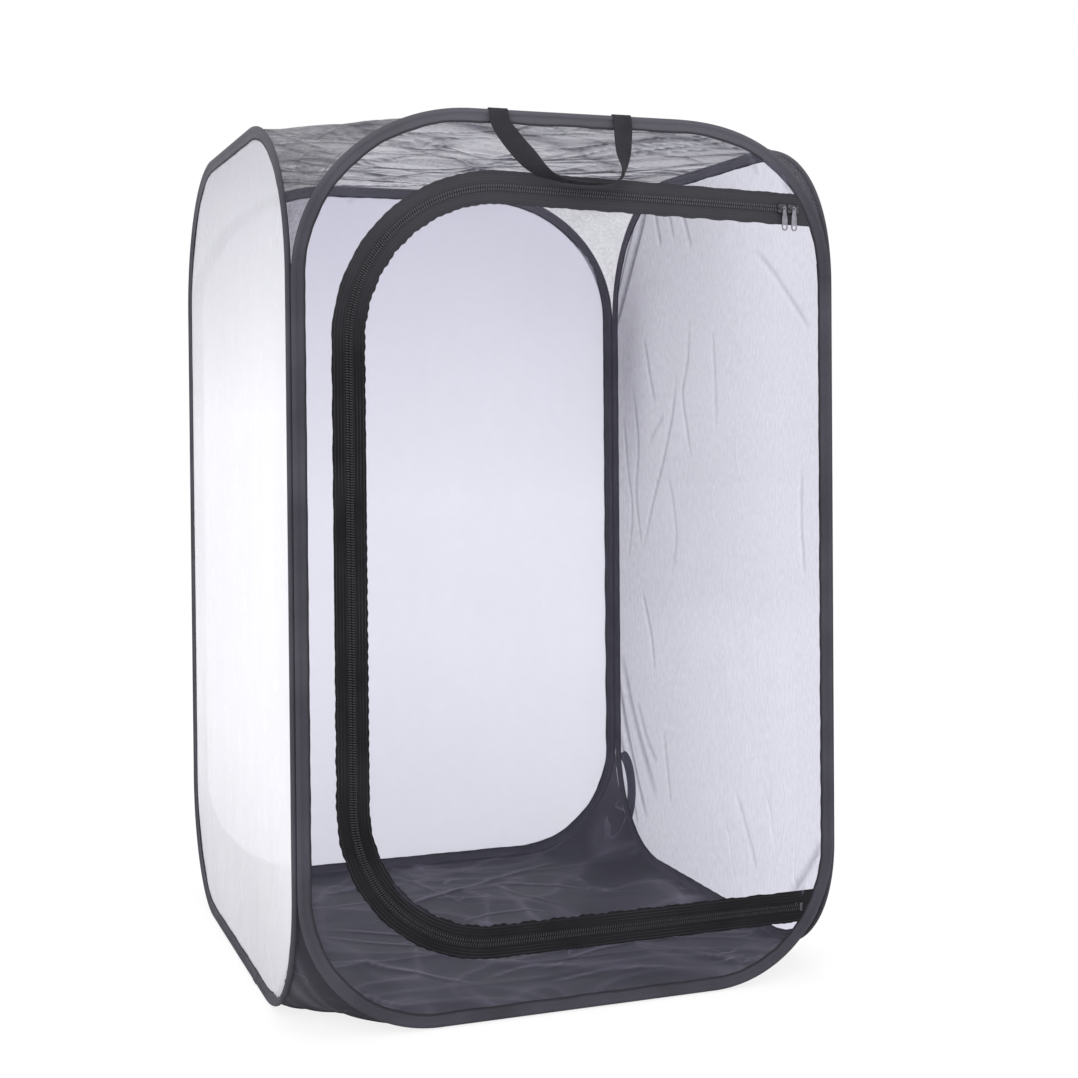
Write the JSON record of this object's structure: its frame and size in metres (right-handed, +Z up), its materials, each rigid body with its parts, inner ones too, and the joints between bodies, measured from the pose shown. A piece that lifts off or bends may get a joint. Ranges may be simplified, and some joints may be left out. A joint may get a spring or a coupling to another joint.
{
  "type": "insect cage",
  "caption": "Collapsible pop-up cage on sprung wire hoops, with clear film and black net panels, a zipped D-shaped door and a webbing carry handle.",
  "frame": {"origin": "middle of the cage's footprint, on the floor cloth's underside", "axes": "+Z up; -Y is the front, with the door; +X is to the right as the front is seen"},
  "size_m": [0.6209, 0.6566, 0.9015],
  "materials": {
    "wire": "drawn spring steel wire",
    "sleeve": "crimped tube",
    "binding": "dark grey woven binding tape, slight sheen",
    "net": "fine black polyester net, see-through",
    "film": "clear flexible film, glossy",
    "floor_cloth": "dark coated polyester cloth, creased",
    "zip_tape": "black woven zip tape",
    "zip_coil": "black nylon coil",
    "slider_metal": "dark metallic, polished",
    "webbing": "black woven webbing"
  },
  "bodies": {
    "front_panel": {"front_spring_wire": "wire", "front_wire_sleeve": "sleeve", "front_hoop_binding": "binding", "front_binding_lap": "binding", "front_net": "net", "frame_zip_tape": "zip_tape", "frame_zip_coil": "zip_coil", "upper_zip_tape_end": "zip_tape", "lower_zip_tape_end": "zip_tape", "upper_zip_coil_end": "zip_coil", "lower_zip_coil_end": "zip_coil", "upper_zip_stop": "slider_metal", "lower_zip_stop": "slider_metal", "handle_left_end": "webbing", "handle_right_end": "webbing", "top_net": "net", "floor_cloth": "floor_cloth"},
    "left_panel": {"left_spring_wire": "wire", "left_wire_sleeve": "sleeve", "left_hoop_binding": "binding", "left_binding_lap": "binding", "left_film": "film"},
    "right_panel": {"right_spring_wire": "wire", "right_wire_sleeve": "sleeve", "right_hoop_binding": "binding", "right_binding_lap": "binding", "right_net": "net"},
    "rear_panel": {"rear_spring_wire": "wire", "rear_wire_sleeve": "sleeve", "rear_hoop_binding": "binding", "rear_binding_lap": "binding", "rear_film": "film"},
    "door": {"door_net": "net", "door_zip_tape": "zip_tape", "door_zip_coil": "zip_coil"},
    "trailing_slider": {"trailing_slider": "slider_metal"},
    "leading_slider": {"leading_slider": "slider_metal"},
    "trailing_pull": {"trailing_pull": "slider_metal"},
    "leading_pull": {"leading_pull": "slider_metal"},
    "carry_handle": {"carry_handle": "webbing"},
    "closure_loop": {"closure_loop": "webbing"}
  },
  "joints": [
    {"name": "front_left_fold", "type": "hinge", "parent": "front_panel", "child": "left_panel", "pos_m": [-0.28675, -0.29675, 0.45], "axis": [0, 0, 1], "range_deg": [-80, 0], "stiffness_Nm_per_rad": 0.3, "deforming": ["top_net", "floor_cloth"]},
    {"name": "front_right_fold", "type": "hinge", "parent": "front_panel", "child": "right_panel", "pos_m": [0.29, -0.3, 0.45], "axis": [0, 0, 1], "range_deg": [-80, 0]},
    {"name": "rear_right_fold", "type": "hinge", "parent": "right_panel", "child": "rear_panel", "pos_m": [0.28675, 0.29675, 0.45], "axis": [0, 0, 1], "range_deg": [0, 80]},
    {"name": "door_swing", "type": "hinge", "parent": "front_panel", "child": "door", "pos_m": [0.2245, -0.3031, 0.45], "axis": [0, 0, 1], "range_deg": [0, 110]},
    {"name": "trailing_slider_run", "type": "slide", "parent": "front_panel", "child": "trailing_slider", "axis": [0.9994, 0, -0.0349], "range_m": [-0.15, 0]},
    {"name": "leading_slider_run", "type": "slide", "parent": "trailing_slider", "child": "leading_slider", "axis": [0.9994, 0, -0.0349], "range_m": [-0.15, 0]},
    {"name": "leading_pull_swing", "type": "hinge", "parent": "leading_slider", "child": "leading_pull", "pos_m": [0.2331, -0.3049, 0.81268], "axis": [0, -1, 0], "range_deg": [-45, 10]},
    {"name": "trailing_pull_swing", "type": "hinge", "parent": "trailing_slider", "child": "trailing_pull", "pos_m": [0.2441, -0.3049, 0.81229], "axis": [0, -1, 0], "range_deg": [-10, 80]},
    {"name": "handle_swing", "type": "hinge", "parent": "front_panel", "child": "carry_handle", "pos_m": [-0.015, -0.3055, 0.8959], "axis": [-1, 0, 0], "range_deg": [0, 170]},
    {"name": "closure_loop_lift", "type": "hinge", "parent": "right_panel", "child": "closure_loop", "pos_m": [0.29362, 0.30273, 0.1265], "axis": [0.6018, -0.7986, 0], "range_deg": [0, 80]}
  ],
  "couplings": [
    {"joint": "front_right_fold", "follows": "front_left_fold", "ratio": 1},
    {"joint": "rear_right_fold", "follows": "front_left_fold", "ratio": -1}
  ]
}
